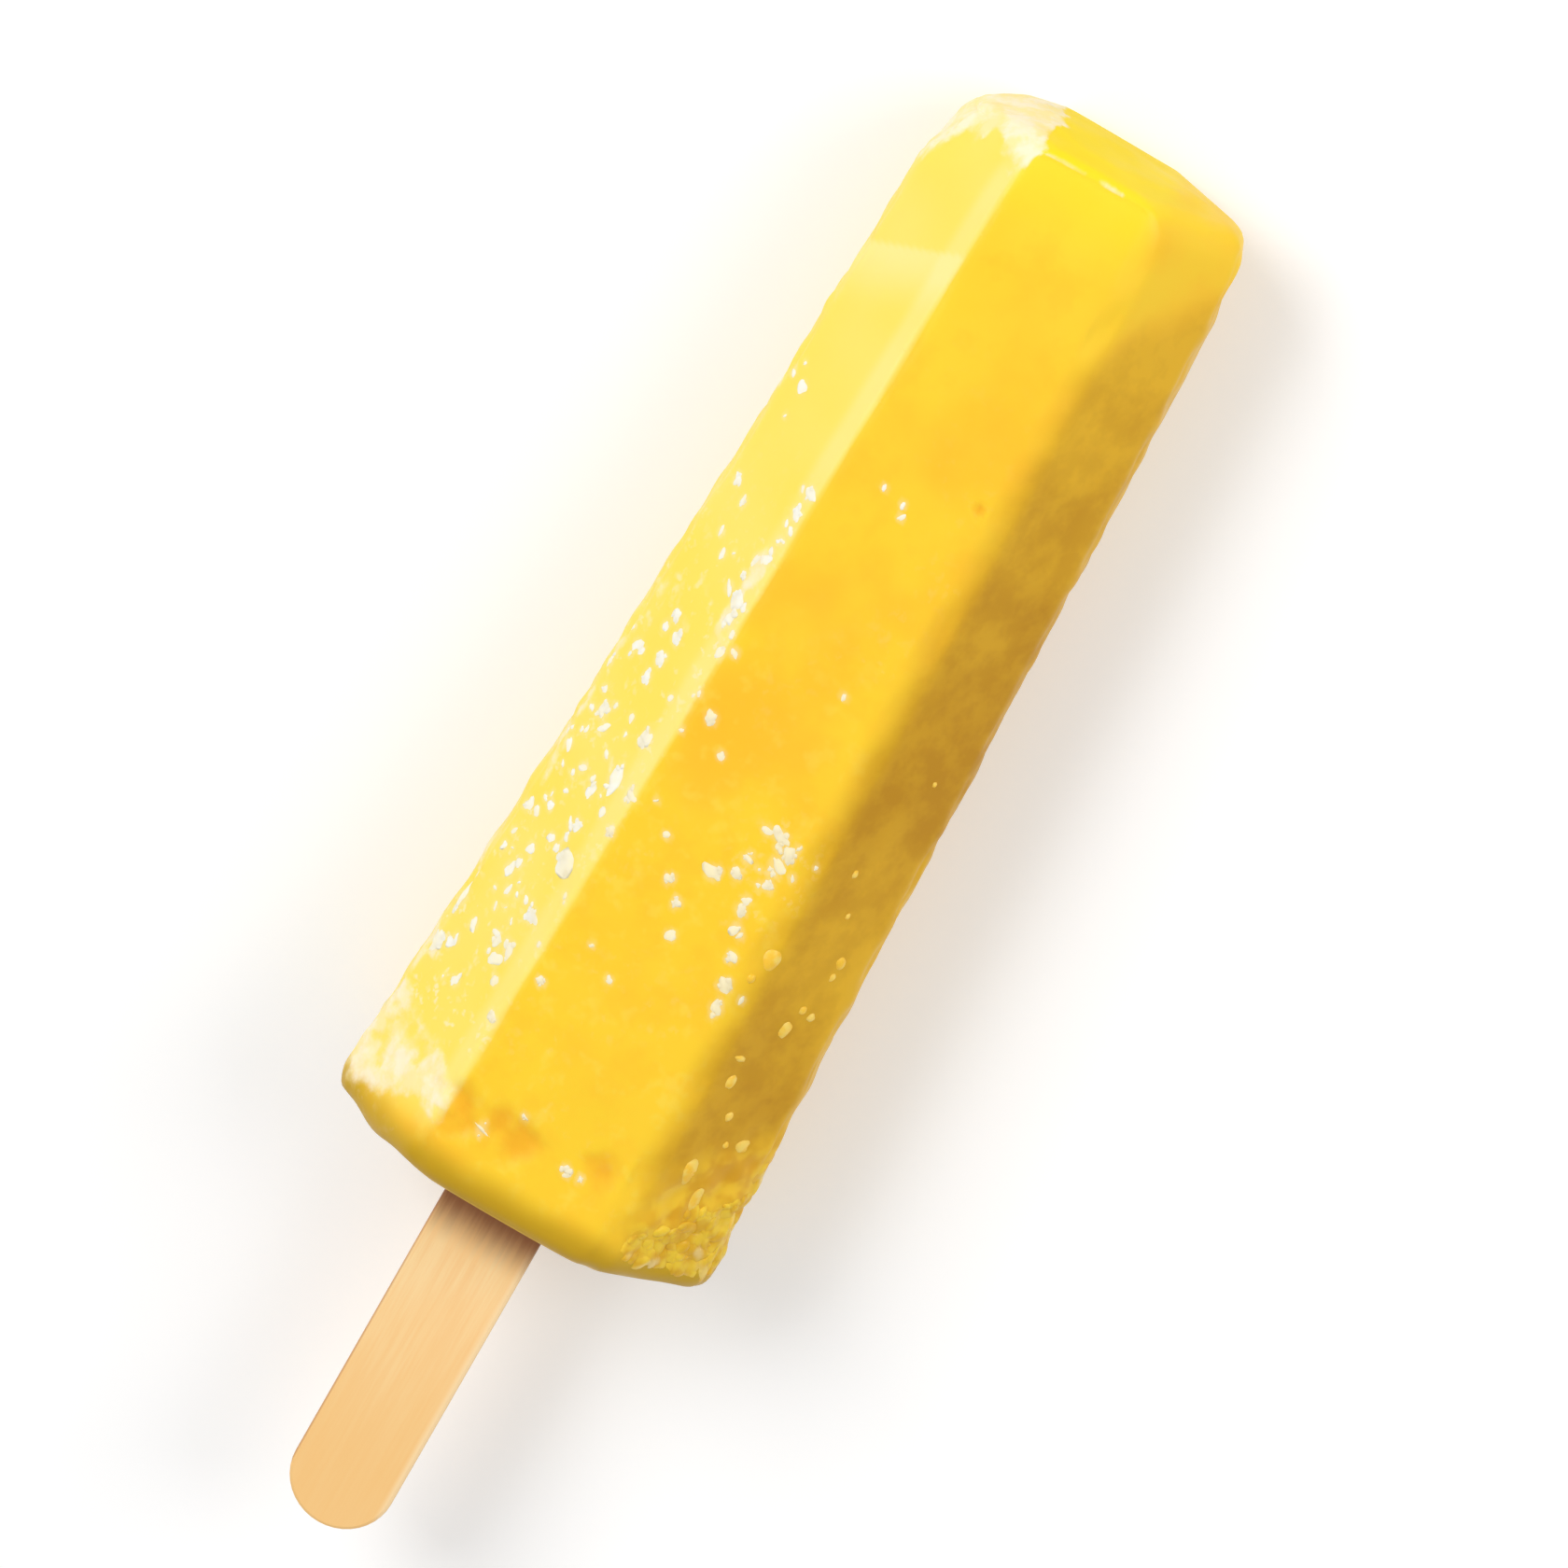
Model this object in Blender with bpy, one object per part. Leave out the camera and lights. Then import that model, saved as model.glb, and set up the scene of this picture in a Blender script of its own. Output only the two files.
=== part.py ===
"""Ice lolly: a tapered, eight-sided bar of fruit ice frozen round a flat wooden stick, lying on its back.

The bar and the stick are built in the bar's own frame: X along its centreline, with the mouth end (where
the stick comes out) at x = 0 and the tip at negative x, Y across the bar, and Z towards its front facet.
An empty then lays both down, so that the back facet is flush with z = 0 under the middle of their box.
Lengths are in metres.
"""

import math

import bmesh
import bpy
from mathutils import Matrix, Vector

# The bar of ice, which narrows from the mouth of its mould to the tip.
BAR_LENGTH = 0.1087
MOUTH_WIDTH = 0.0371
TIP_WIDTH = 0.0290
MOUTH_DEPTH = 0.0260
TIP_DEPTH = 0.0210
MOUTH_FACET = 0.0187  # width of the front and back facets at the mouth
TIP_FACET = 0.0129

# Its ends: both rims are rounded, and each end face swells a little.
MOUTH_RIM_RADIUS = 0.0026
TIP_RIM_RADIUS = 0.0026
MOUTH_SWELL = 0.0012
TIP_SWELL = 0.0006
LIP_LENGTH = 0.012  # the last stretch before the mouth, where the sides flare
LIP_FLARE = 0.0004
SHOULDER_LENGTH = 0.009  # the stretch behind the tip, where the sides draw in
SHOULDER_INSET = 0.0009

# Its long edges: the front left one is crisp, and the front right one has melted soft.
CRISP_EDGE_RADIUS = 0.0012
SOFT_EDGE_RADIUS = 0.0045
OTHER_EDGE_RADIUS = 0.0020
LEAST_EDGE_RADIUS = 0.0003

# The stick, and the room that the ice leaves round it.
STICK_LENGTH = 0.1140
STICK_WIDTH = 0.0100
STICK_THICKNESS = 0.0020
STICK_OUT = 0.0379  # how much of it shows beyond the mouth
STICK_ASIDE = 0.0010  # how far it has set off the centreline, towards -Y
STICK_EDGE_BEVEL = 0.0003
CLEARANCE = 0.0003

# How finely the curved shapes are cut.
FACETS = 8
EDGE_STEPS = 4
RIM_STEPS = 5
SHOULDER_STEPS = 3
BODY_STEPS = 12
END_RINGS = 4
STICK_END_STEPS = 20
FLAT_STEPS = {"front": 5, "slant": 3, "side": 2}
STICK_EDGE_STEPS = 2
SMOOTH_ANGLE = math.radians(30)
BEVEL_ANGLE = math.radians(60)

ICE_COLOUR = (0.98, 0.64, 0.046, 1.0)
WOOD_COLOUR = (0.96, 0.62, 0.28, 1.0)


def clear_scene():
    for obj in list(bpy.data.objects):
        bpy.data.objects.remove(obj)


def mixed(start, end, share):
    return start + (end - start) * share


def plain_material(name, colour, roughness):
    material = bpy.data.materials.new(name)
    material.use_nodes = True
    surface = material.node_tree.nodes["Principled BSDF"]
    surface.inputs["Base Color"].default_value = colour
    surface.inputs["Roughness"].default_value = roughness
    surface.inputs["Metallic"].default_value = 0.0
    return material


def new_object(name, bm, material):
    mesh = bpy.data.meshes.new(name)
    bmesh.ops.recalc_face_normals(bm, faces=bm.faces)
    bm.to_mesh(mesh)
    bm.free()
    mesh.materials.append(material)
    obj = bpy.data.objects.new(name, mesh)
    bpy.context.scene.collection.objects.link(obj)
    return obj


def facet_distances(behind_mouth):
    """How far each of the eight facets is from the centreline, in turn from the +Y side towards +Z."""
    share = behind_mouth / BAR_LENGTH
    lip = max(0.0, 1.0 - behind_mouth / LIP_LENGTH) ** 2 * LIP_FLARE
    side = mixed(MOUTH_WIDTH, TIP_WIDTH, share) / 2 + lip
    front = mixed(MOUTH_DEPTH, TIP_DEPTH, share) / 2
    half_facet = mixed(MOUTH_FACET, TIP_FACET, share) / 2 + lip
    slant = (half_facet + front) / math.sqrt(2)
    return [side, slant, front, slant] * 2


def edge_radii(inset):
    """The radius of the edge after each facet, less what the section has shrunk by."""
    radii = [OTHER_EDGE_RADIUS] * FACETS
    radii[1] = SOFT_EDGE_RADIUS  # between the +Y slant and the front
    radii[2] = CRISP_EDGE_RADIUS  # between the front and the -Y slant
    return [max(radius - inset, LEAST_EDGE_RADIUS) for radius in radii]


def section(behind_mouth, inset=0.0):
    """The bar's outline in Y and Z at one distance behind the mouth, shrunk all round by inset."""
    distances = [distance - inset for distance in facet_distances(behind_mouth)]
    radii = edge_radii(inset)
    turn = 2 * math.pi / FACETS
    steps = [FLAT_STEPS[kind] for kind in ("side", "slant", "front", "slant")] * 2
    arcs = []
    for facet in range(FACETS):
        radius = radii[facet]
        angle = facet * turn
        near = distances[facet] - radius
        far = distances[(facet + 1) % FACETS] - radius
        along = (far - near * math.cos(turn)) / math.sin(turn)
        centre = Vector(
            (
                near * math.cos(angle) - along * math.sin(angle),
                near * math.sin(angle) + along * math.cos(angle),
            )
        )
        angles = [angle + turn * step / EDGE_STEPS for step in range(EDGE_STEPS + 1)]
        arcs.append([centre + radius * Vector((math.cos(a), math.sin(a))) for a in angles])
    outline = []
    for facet in range(FACETS):
        start, end = arcs[facet - 1][-1], arcs[facet][0]
        inner = range(1, steps[facet])
        outline += [start.lerp(end, step / steps[facet]) for step in inner]
        outline += arcs[facet]
    return outline


def shoulder_inset(behind_mouth):
    """How much the sides draw in at one distance behind the mouth, on the stretch behind the tip."""
    share = max(0.0, 1.0 - (BAR_LENGTH - behind_mouth) / SHOULDER_LENGTH)
    return SHOULDER_INSET * share**2


def bar_rings():
    """(distance behind the mouth, inset) of every ring from one rim of the bar to the other."""
    quarter = [math.pi / 2 * step / RIM_STEPS for step in range(RIM_STEPS + 1)]
    rings = []
    for angle in quarter:
        along = MOUTH_RIM_RADIUS * (1 - math.cos(angle))
        rings.append((along, MOUTH_RIM_RADIUS * (1 - math.sin(angle))))
    shoulder = BAR_LENGTH - SHOULDER_LENGTH
    rim = BAR_LENGTH - TIP_RIM_RADIUS
    for step in range(1, BODY_STEPS + 1):
        along = mixed(MOUTH_RIM_RADIUS, shoulder, step / BODY_STEPS)
        rings.append((along, 0.0))
    for step in range(1, SHOULDER_STEPS):
        along = mixed(shoulder, rim, step / SHOULDER_STEPS)
        rings.append((along, shoulder_inset(along)))
    for angle in quarter:
        along = rim + TIP_RIM_RADIUS * math.sin(angle)
        inset = TIP_RIM_RADIUS * (1 - math.cos(angle))
        rings.append((along, inset + shoulder_inset(along)))
    return rings


def add_ring(bm, along, outline):
    return [bm.verts.new((-along, y, z)) for y, z in outline]


def join_rings(bm, first, second):
    for place in range(len(first)):
        after = (place + 1) % len(first)
        bm.faces.new((first[place], first[after], second[after], second[place]))


def add_end(bm, rim, swell):
    """Closes the bar inside one rim with a face that swells towards its middle."""
    place = rim[0].co.x
    ring = rim
    for step in range(1, END_RINGS):
        share = 1 - step / END_RINGS
        height = swell * (1 - share**2)
        inner = [
            bm.verts.new((place + height, vert.co.y * share, vert.co.z * share)) for vert in rim
        ]
        join_rings(bm, ring, inner)
        ring = inner
    middle = bm.verts.new((place + swell, 0.0, 0.0))
    for index in range(len(ring)):
        bm.faces.new((ring[index], ring[(index + 1) % len(ring)], middle))


def stick_prism(bm, length, width, thickness, end):
    """A flat bar with half-round ends, whose outer end is at x = end."""
    radius = width / 2
    outline = []
    for middle, start in ((end - radius, -math.pi / 2), (end - length + radius, math.pi / 2)):
        for step in range(STICK_END_STEPS + 1):
            angle = start + math.pi * step / STICK_END_STEPS
            outline.append((middle + radius * math.cos(angle), radius * math.sin(angle)))
    verts = [bm.verts.new((x, y - STICK_ASIDE, -thickness / 2)) for x, y in outline]
    face = bm.faces.new(verts)
    made = bmesh.ops.extrude_face_region(bm, geom=[face])
    top = [item for item in made["geom"] if isinstance(item, bmesh.types.BMVert)]
    bmesh.ops.translate(bm, verts=top, vec=(0.0, 0.0, thickness))


def make_slot_cutter():
    """The room for the stick inside the bar. It runs out past the mouth, and isn't part of the lolly."""
    bm = bmesh.new()
    outside = MOUTH_SWELL + STICK_WIDTH
    length = STICK_LENGTH - STICK_OUT + CLEARANCE + outside
    width = STICK_WIDTH + 2 * CLEARANCE
    stick_prism(bm, length, width, STICK_THICKNESS + 2 * CLEARANCE, outside)
    mesh = bpy.data.meshes.new("stick_slot")
    bmesh.ops.recalc_face_normals(bm, faces=bm.faces)
    bm.to_mesh(mesh)
    bm.free()
    cutter = bpy.data.objects.new("stick_slot", mesh)
    bpy.context.scene.collection.objects.link(cutter)
    cutter.hide_render = True
    cutter.display_type = "WIRE"
    return cutter


def make_ice(cutter):
    bm = bmesh.new()
    rings = [add_ring(bm, along, section(along, inset)) for along, inset in bar_rings()]
    for first, second in zip(rings, rings[1:]):
        join_rings(bm, first, second)
    add_end(bm, rings[0], MOUTH_SWELL)
    add_end(bm, rings[-1], -TIP_SWELL)
    ice = new_object("ice", bm, plain_material("fruit_ice", ICE_COLOUR, 0.4))
    slot = ice.modifiers.new("slot_for_stick", "BOOLEAN")
    slot.operation = "DIFFERENCE"
    slot.object = cutter
    ice.data.shade_smooth()
    ice.data.set_sharp_from_angle(angle=SMOOTH_ANGLE)
    return ice


def make_stick():
    bm = bmesh.new()
    stick_prism(bm, STICK_LENGTH, STICK_WIDTH, STICK_THICKNESS, STICK_OUT)
    stick = new_object("stick", bm, plain_material("stick_wood", WOOD_COLOUR, 0.6))
    bevel = stick.modifiers.new("worn_edges", "BEVEL")
    bevel.width = STICK_EDGE_BEVEL
    bevel.segments = STICK_EDGE_STEPS
    bevel.limit_method = "ANGLE"
    bevel.angle_limit = BEVEL_ANGLE
    stick.data.shade_smooth()
    stick.data.set_sharp_from_angle(angle=SMOOTH_ANGLE)
    return stick


def box_of(objects, turn):
    """Lowest and highest corners of these objects' own points after a turn."""
    points = [turn @ vert.co for obj in objects for vert in obj.data.vertices]
    low = Vector(tuple(min(point[axis] for point in points) for axis in range(3)))
    high = Vector(tuple(max(point[axis] for point in points) for axis in range(3)))
    return low, high


def lay_down(objects):
    """Rests the lolly on its back facet, with the middle of its box over the origin."""
    slope = math.atan((MOUTH_DEPTH - TIP_DEPTH) / 2 / BAR_LENGTH)
    turn = Matrix.Rotation(-slope, 4, "Y")
    low, high = box_of(objects, turn)
    lolly = bpy.data.objects.new("lolly", None)
    bpy.context.scene.collection.objects.link(lolly)
    lolly.rotation_euler = (0.0, -slope, 0.0)
    lolly.location = (-(low.x + high.x) / 2, -(low.y + high.y) / 2, -low.z)
    return lolly


def main():
    clear_scene()
    cutter = make_slot_cutter()
    ice = make_ice(cutter)
    stick = make_stick()
    lolly = lay_down([ice, stick])
    for piece in (cutter, ice, stick):
        piece.parent = lolly


main()
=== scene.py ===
"""An ice lolly lying on a white table: a bar of yellow fruit ice, frosted at its corners, on a flat
wooden stick."""

import math
import random

import bmesh
import bpy
import numpy as np
from mathutils import Matrix, Vector, noise


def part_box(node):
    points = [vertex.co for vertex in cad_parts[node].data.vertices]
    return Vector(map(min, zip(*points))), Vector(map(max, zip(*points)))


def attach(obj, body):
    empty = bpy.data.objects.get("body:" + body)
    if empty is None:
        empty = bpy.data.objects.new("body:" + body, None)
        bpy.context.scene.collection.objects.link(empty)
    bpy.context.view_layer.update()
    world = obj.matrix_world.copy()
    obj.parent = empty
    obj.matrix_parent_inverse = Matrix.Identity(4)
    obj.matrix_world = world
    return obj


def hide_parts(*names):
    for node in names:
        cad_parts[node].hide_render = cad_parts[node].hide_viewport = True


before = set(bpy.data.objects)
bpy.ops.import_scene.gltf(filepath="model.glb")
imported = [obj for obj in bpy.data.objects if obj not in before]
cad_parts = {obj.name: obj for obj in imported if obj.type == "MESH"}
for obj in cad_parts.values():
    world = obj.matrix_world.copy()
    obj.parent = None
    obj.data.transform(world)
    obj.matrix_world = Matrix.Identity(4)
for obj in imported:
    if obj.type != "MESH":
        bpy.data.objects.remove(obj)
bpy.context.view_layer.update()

# ------------------------------------------------------------------------------------- the bar of ice
# Fruit juice frozen in an eight-sided mould that narrows towards the tip, and pulled out of it. Its long
# edges are crisp but for the front right one, which has melted soft. Thin frost has settled on its left
# side and its corners, and the right side has turned clear; its colour there is darkened as painted
# shade.

MM = 0.001
MOUTH_WIDTH = 37.1 * MM
TIP_WIDTH = 29.0 * MM
MOUTH_DEPTH = 26.0 * MM
TIP_DEPTH = 21.0 * MM
MOUTH_FACET = 18.7 * MM  # width of the front facet
TIP_FACET = 12.9 * MM
MOUTH_SWELL = 1.2 * MM
TIP_SWELL = 0.6 * MM
MOUTH_RIM = 2.6 * MM  # radii of its edges
TIP_FRONT_RIM = 1.2 * MM
CRISP_EDGE = 1.2 * MM
SOFT_EDGE = 4.5 * MM
OTHER_EDGE = 2.0 * MM
GRAIN_OF_MESH = 0.41 * MM

ice_low, ice_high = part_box("ice")
BAR_LENGTH = ice_high.x - ice_low.x - MOUTH_SWELL - TIP_SWELL
SLOPE = math.atan((MOUTH_DEPTH - TIP_DEPTH) / 2 / BAR_LENGTH)

# The bar is shaped upright in its own frame, with its mouth at x = 0 and its front facet up, and this
# place then lays it on its back.
lying = Matrix.Translation((ice_high.x - MOUTH_SWELL, 0.0, MOUTH_DEPTH / 2))
lying = lying @ Matrix.Rotation(-SLOPE, 4, "Y")


def mixed(start, end, share):
    return start + (end - start) * share


def settle(piece):
    """Turns a piece's own place, turn and scale into the place of its mesh."""
    bpy.ops.object.select_all(action="DESELECT")
    piece.select_set(True)
    bpy.context.view_layer.objects.active = piece
    bpy.ops.object.transform_apply(location=True, rotation=True, scale=True)


def modify(piece, kind, **settings):
    """Adds a modifier to a piece and applies it."""
    bpy.context.view_layer.objects.active = piece
    modifier = piece.modifiers.new(kind.lower(), kind)
    for name, value in settings.items():
        setattr(modifier, name, value)
    bpy.ops.object.modifier_apply(modifier=modifier.name)


def pick(piece, what, test):
    """Selects the vertices, edges or faces of a piece in edit mode that pass a test."""
    bpy.ops.mesh.select_all(action="DESELECT")
    shape = bmesh.from_edit_mesh(piece.data)
    for item in getattr(shape, what):
        if test(item):
            item.select_set(True)
    bmesh.update_edit_mesh(piece.data)


bpy.ops.object.select_all(action="DESELECT")
bpy.ops.mesh.primitive_cylinder_add(
    vertices=8,
    radius=MOUTH_WIDTH / 2,
    depth=BAR_LENGTH,
    location=(-BAR_LENGTH / 2, 0.0, 0.0),
    rotation=(0.0, math.pi / 2, 0.0),
)
ice = bpy.context.active_object
ice.name = "ice_bar"
settle(ice)
ice.rotation_euler = (math.pi / 8, 0.0, 0.0)
settle(ice)

# Each end's corners go out to the mould's section: flat front and back, and slants at 45 degrees.
bpy.ops.object.mode_set(mode="EDIT")
wide = MOUTH_WIDTH / 2 * math.cos(math.pi / 8)
narrow = MOUTH_WIDTH / 2 * math.sin(math.pi / 8)
for end, width, depth, facet in (
    (0.0, MOUTH_WIDTH, MOUTH_DEPTH, MOUTH_FACET),
    (-BAR_LENGTH, TIP_WIDTH, TIP_DEPTH, TIP_FACET),
):
    slant = (width - facet) / 2
    for at_side, y_scale, z_scale in (
        (True, width / 2 / wide, (depth / 2 - slant) / narrow),
        (False, facet / 2 / narrow, depth / 2 / wide),
    ):
        pick(
            ice,
            "verts",
            lambda vert: abs(vert.co.x - end) < MM and (abs(vert.co.y) > abs(vert.co.z)) == at_side,
        )
        bpy.ops.transform.resize(value=(1.0, y_scale, z_scale), center_override=(end, 0.0, 0.0))

# Every edge is rounded by its own radius. An edge that turns by 45 degrees starts to round this share of
# its radius away.
eighth = math.tan(math.pi / 8)
shape = bmesh.from_edit_mesh(ice.data)
weight = shape.edges.layers.float.new("bevel_weight_edge")
for edge in shape.edges:
    first, second = (vert.co for vert in edge.verts)
    middle = (first + second) / 2
    if middle.x < MM - BAR_LENGTH and middle.z > MOUTH_DEPTH / 3:
        edge[weight] = TIP_FRONT_RIM / MOUTH_RIM
    elif abs(first.x - second.x) < MM:
        edge[weight] = 1.0
    elif middle.z > MOUTH_DEPTH / 3 and middle.y > 0:
        edge[weight] = SOFT_EDGE * eighth / MOUTH_RIM
    elif middle.z > MOUTH_DEPTH / 3 and middle.y < 0:
        edge[weight] = CRISP_EDGE * eighth / MOUTH_RIM
    else:
        edge[weight] = OTHER_EDGE * eighth / MOUTH_RIM
bmesh.update_edit_mesh(ice.data)
bpy.ops.object.mode_set(mode="OBJECT")
modify(ice, "BEVEL", width=MOUTH_RIM, segments=6, limit_method="WEIGHT")

# The end faces swell a little, in two steps inwards from their edge.
END_FACE_AREA = 30 * MM**2  # more than any facet of a rounded edge
bpy.ops.object.mode_set(mode="EDIT")
for direction, swell in ((1.0, MOUTH_SWELL), (-1.0, TIP_SWELL)):
    pick(
        ice,
        "faces",
        lambda face: face.normal.x * direction > 0.99 and face.calc_area() > END_FACE_AREA,
    )
    for inwards, share in ((3.0 * MM, 0.7), (3.5 * MM, 0.3)):
        bpy.ops.mesh.inset(thickness=inwards, depth=swell * share)
bpy.ops.object.mode_set(mode="OBJECT")
modify(ice, "REMESH", mode="VOXEL", voxel_size=GRAIN_OF_MESH)
modify(ice, "SMOOTH", factor=0.5, iterations=6)


def half_front(behind):
    """Half the front facet's width at a distance behind the mouth."""
    return mixed(MOUTH_FACET, TIP_FACET, behind / BAR_LENGTH) / 2


def rise(value, start, end):
    """0 up to start, 1 from end on, and smooth between them."""
    share = np.clip((value - start) / (end - start), 0.0, 1.0)
    return share * share * (3 - 2 * share)


def cloud(points, size, seed):
    """Soft noise from about -1 to 1, with lumps of about this size."""
    shift = Vector((seed * 1.7, seed * 2.3, seed * 3.1))
    return np.array([noise.noise(Vector(point) / size + shift) for point in points]) * 1.6


def points_of(mesh):
    """Places and outward directions of a mesh's points, as rows of numbers."""
    places = np.empty(len(mesh.vertices) * 3)
    mesh.vertices.foreach_get("co", places)
    outward = np.empty(len(mesh.vertices) * 3)
    mesh.vertices.foreach_get("normal", outward)
    return places.reshape(-1, 3), outward.reshape(-1, 3)


# Round the mouth the facets have melted into one smooth band, but for the sharp left corner.
places, outward = points_of(ice.data)
melted = 1 - rise(-places[:, 0], 1.0 * MM, 7.0 * MM)
melted = melted * (1 - rise(np.abs(places[:, 1]), 13 * MM, 17 * MM))
mouth_zone = ice.vertex_groups.new(name="mouth_zone")
for index in np.nonzero(melted > 0.01)[0]:
    mouth_zone.add([int(index)], float(melted[index]), "REPLACE")
modify(ice, "SMOOTH", factor=0.5, iterations=70, vertex_group="mouth_zone")

places, outward = points_of(ice.data)
behind = -places[:, 0]
from_tip = BAR_LENGTH - behind
across = places[:, 1]
left_of_edge = (-across - half_front(behind)) * math.sqrt(2)
right_of_edge = (across - half_front(behind)) * math.sqrt(2)
sideways = np.hypot(outward[:, 1], outward[:, 2])
on_left = rise(-outward[:, 1], 0.25, 0.6) * rise(outward[:, 2], -0.3, 0.1)
on_right = rise(outward[:, 1], 0.10, 0.65) * rise(outward[:, 2], -0.3, 0.1)
on_left_side = rise(-outward[:, 1], 0.75, 0.95)
on_right_side = rise(outward[:, 1], 0.75, 0.95)

# The facets face in directions 45 degrees apart, so what faces halfway between two of them is an edge.
turn = np.degrees(np.arctan2(outward[:, 2], outward[:, 1]))
off_edge = 22.5 - np.abs((turn + 22.5) % 45 - 22.5)
on_edge = 1 - rise(off_edge, 4.0, 16.0)

# Frost on the left corner of the tip. It reaches down the left facet in ragged fingers with bare ice
# between them. Its border is given by distances from the facet's edge and from the tip, in millimetres.
fingers = (
    (-1.2, 0.6),
    (0.0, 3.0),
    (2.2, 3.3),
    (3.6, 2.2),
    (5.6, 0.6),
    (6.6, 3.6),
    (8.0, 2.9),
    (9.6, 4.8),
    (11.0, 8.0),
)
finger_places, finger_ends = np.array(fingers).T * MM
ragged = cloud(places, 2.6 * MM, 1) * 0.7 * MM + cloud(places, 1.0 * MM, 2) * 0.7 * MM
reach = np.interp(left_of_edge, finger_places, finger_ends) + ragged
drift = cloud(places, 3.2 * MM, 28) * 1.0 * MM + 0.4 * ragged
reach = reach - 3.5 * MM * (1 - rise(left_of_edge + drift, -2.8 * MM, -0.6 * MM))
tip_frost = rise(reach - from_tip, -1.3 * MM, 1.6 * MM)

# Frost on the left of the tip's end face, and a thin line of it along the front of the tip's rim.
end_frost = rise(-across + 0.9 * ragged - 0.10 * (TIP_DEPTH / 2 - places[:, 2]), 5.2 * MM, 7.0 * MM)
end_frost = end_frost * rise(2.0 * MM - from_tip, 0.0, 0.8 * MM)
rim_turn = np.degrees(np.arctan2(outward[:, 2], -outward[:, 0]))
rim_line = np.exp(-(((rim_turn - 42) / 15) ** 2)) * rise(-from_tip, -2.2 * MM, -1.4 * MM)
rim_line = rim_line * rise(across, -7.0 * MM, -6.0 * MM) * (1 - rise(across, 2.4 * MM, 3.6 * MM))
rim_line = rim_line * rise(cloud(places, 1.5 * MM, 17) - 0.05 * across / MM, -0.45, 0.15)
tip_frost = np.maximum.reduce([tip_frost, end_frost, 0.62 * rim_line])

# Frost on the left corner of the mouth, with bare islands in it. Its far border is given by distances
# from the facet's edge and from the mouth, in millimetres.
islands = cloud(places, 2.6 * MM, 3) + 0.6 * cloud(places, 1.1 * MM, 4)
border = ((-1.0, 4.0), (0.5, 9.0), (3.0, 9.0), (5.5, 9.5), (7.5, 10.5), (12.5, 11.0))
border_places, border_ends = np.array(border).T * MM
mouth_reach = np.interp(left_of_edge, border_places, border_ends)
mouth_reach = mouth_reach + cloud(places, 3.0 * MM, 5) * 1.6 * MM
mouth_frost = rise(mouth_reach - behind, -1.8 * MM, 2.8 * MM)
mouth_start = mixed(5.6 * MM, 2.4 * MM, rise(left_of_edge, 3 * MM, 12 * MM))
mouth_frost = mouth_frost * rise(behind - mouth_start + 0.6 * ragged, -1.2 * MM, 1.4 * MM)
mouth_frost = mouth_frost * (1 - 0.65 * rise(islands, 0.25, 1.0))
mouth_frost = mouth_frost * rise(left_of_edge, -1.2 * MM, 0.8 * MM) * rise(outward[:, 2], -0.5, -0.1)

# Rime in patches down the outer left edge, and along the crisp edge.
rime = cloud(places, 4.5 * MM, 6) + 0.6 * cloud(places, 1.4 * MM, 7)
low_edge = 0.25 * cloud(places, 3.0 * MM, 26)
outer = rise(left_of_edge, 9.5 * MM, 12.0 * MM) * rise(-outward[:, 1] + low_edge, 0.35, 0.75)
outer = outer * rise(outward[:, 2] + low_edge, -0.35, 0.15)
outer = outer * rise(behind, 8 * MM, 16 * MM) * (1 - rise(behind, 78 * MM, 92 * MM))
side_frost = 0.8 * outer * rise(rime, 0.10, 0.75)
inner = rise(left_of_edge, -0.8 * MM, 0.3 * MM) * (1 - rise(left_of_edge, 2.0 * MM, 3.4 * MM))
inner = inner * rise(behind, 50 * MM, 57 * MM) * (1 - rise(behind, 69 * MM, 76 * MM))
edge_frost = 0.8 * inner * rise(rime, 0.15, 0.75)
frost = np.clip(np.maximum.reduce([tip_frost, mouth_frost, side_frost, edge_frost]), 0, 1)

# A thin veil of frost on the left facet, thicker in one slanting band, and a painted highlight along its
# crisp edge, given as more frost.
edge_highlight_strip = rise(left_of_edge, -0.3 * MM, 0.5 * MM) * (1 - rise(left_of_edge, 1.7 * MM, 3.2 * MM))
edge_highlight_strip = edge_highlight_strip * rise(from_tip, 1 * MM, 5 * MM)
band_start = from_tip - 0.42 * left_of_edge
band = rise(band_start, 11.8 * MM, 12.3 * MM) * (1 - rise(band_start, 12.5 * MM, 19 * MM))
veil_and_highlight = on_left * (0.06 + 0.42 * edge_highlight_strip + 0.62 * band)
veil_and_highlight = np.clip(veil_and_highlight + 0.16 * cloud(places, 8 * MM, 8) * on_left, 0, 1)
veil_and_highlight = veil_and_highlight * rise(behind, 3 * MM, 8 * MM)

# The left facet is paler all over, but for the band round the mouth.
pale = rise(-outward[:, 1], 0.25, 0.6)
pale = pale * rise(outward[:, 2] + 0.1 * cloud(places, 4 * MM, 27), -1.0, -0.3)
pale = pale * rise(behind + 0.15 * left_of_edge, 3.2 * MM, 6.5 * MM)

# Where the bar is speckled with fine rime: mostly on the left facet, towards the mouth, also in one
# cluster on the front facet, and faintly elsewhere.
speckled = on_left * rise(behind, 6 * MM, 14 * MM) * (1 - rise(behind, 50 * MM, 78 * MM))
speckled = speckled * np.clip(0.75 + 0.5 * cloud(places, 7 * MM, 18), 0, 1)
cluster = np.hypot((behind - 40 * MM) / 1.6, across - 5.0 * MM)
speckled = np.maximum(speckled, 0.40 * (1 - rise(cluster, 1.5 * MM, 5.0 * MM)))
faint = 0.10 * rise(cloud(places, 9 * MM, 20), -0.2, 0.5) * (1 - on_right)
faint = faint * (1 - rise(behind, 60 * MM, 100 * MM))
speckled = np.maximum(speckled, faint)

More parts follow.
